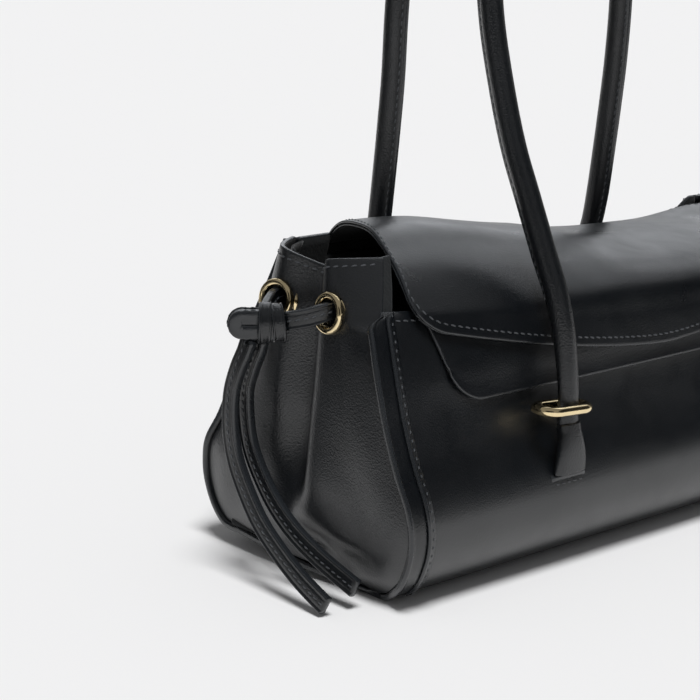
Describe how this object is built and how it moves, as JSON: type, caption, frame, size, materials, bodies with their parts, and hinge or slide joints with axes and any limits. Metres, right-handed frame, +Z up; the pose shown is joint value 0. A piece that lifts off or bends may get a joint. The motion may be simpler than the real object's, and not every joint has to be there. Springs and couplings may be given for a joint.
{
  "type": "baguette bag",
  "caption": "Elongated leather shoulder bag with drawn-in end gussets, a saddle flap over a lower flap, tubular handles through gold keepers, and knotted end ties",
  "frame": {"origin": "middle of the base, on the surface that the bag stands on", "axes": "+X along the bag to its right end, -Y towards the front, +Z up"},
  "size_m": [0.3594, 0.1418, 0.3356],
  "materials": {
    "leather": "smooth semi-gloss near-black leather with a fine grain",
    "leather_edge": "the same leather with painted edges",
    "lining": "dark suede-like lining",
    "gold": "polished light gold plating",
    "steel": "plain magnet discs inside the leather",
    "board": "pressed fibre board",
    "core": "cotton rope core"
  },
  "bodies": {
    "bag": {"body_panel": "leather", "left_gusset": "leather", "right_gusset": "leather", "left_seam_strip": "leather", "right_seam_strip": "leather", "left_welt": "leather_edge", "right_welt": "leather_edge", "front_facing": "leather", "body_lining": "lining", "left_end_lining": "lining", "right_end_lining": "lining", "base_board": "board", "front_magnet": "steel", "flap_seam": "leather", "slit_lips": "leather_edge", "backing_plates": "board", "front_left_tab": "leather", "front_right_tab": "leather", "back_left_tab": "leather", "back_right_tab": "leather", "left_eyelets": "gold", "right_eyelets": "gold", "left_tie": "leather", "right_tie": "leather", "left_knot": "leather", "right_knot": "leather", "left_long_tail": "leather", "left_short_tail": "leather", "right_long_tail": "leather", "right_short_tail": "leather"},
    "flap": {"flap": "leather", "flap_lining": "lining", "lower_flap": "leather", "flap_magnet": "steel"},
    "front_handle": {"front_handle": "leather", "front_handle_core": "core", "front_left_keeper": "gold", "front_right_keeper": "gold"},
    "back_handle": {"back_handle": "leather", "back_handle_core": "core", "back_left_keeper": "gold", "back_right_keeper": "gold"}
  },
  "joints": [
    {"name": "flap_open", "type": "hinge", "parent": "bag", "child": "flap", "pos_m": [0, 0.034, 0.118], "axis": [-1, 0, 0], "range_deg": [0, 80]},
    {"name": "front_handle_swing", "type": "hinge", "parent": "bag", "child": "front_handle", "pos_m": [0, -0.07, 0.067], "axis": [1, 0, 0], "range_deg": [0, 104]},
    {"name": "back_handle_swing", "type": "hinge", "parent": "bag", "child": "back_handle", "pos_m": [0, 0.058, 0.067], "axis": [-1, 0, 0], "range_deg": [0, 96]}
  ],
  "couplings": [
    {"joint": "front_handle_swing", "follows": "flap_open", "ratio": 1.3},
    {"joint": "back_handle_swing", "follows": "flap_open", "ratio": 1.2}
  ]
}
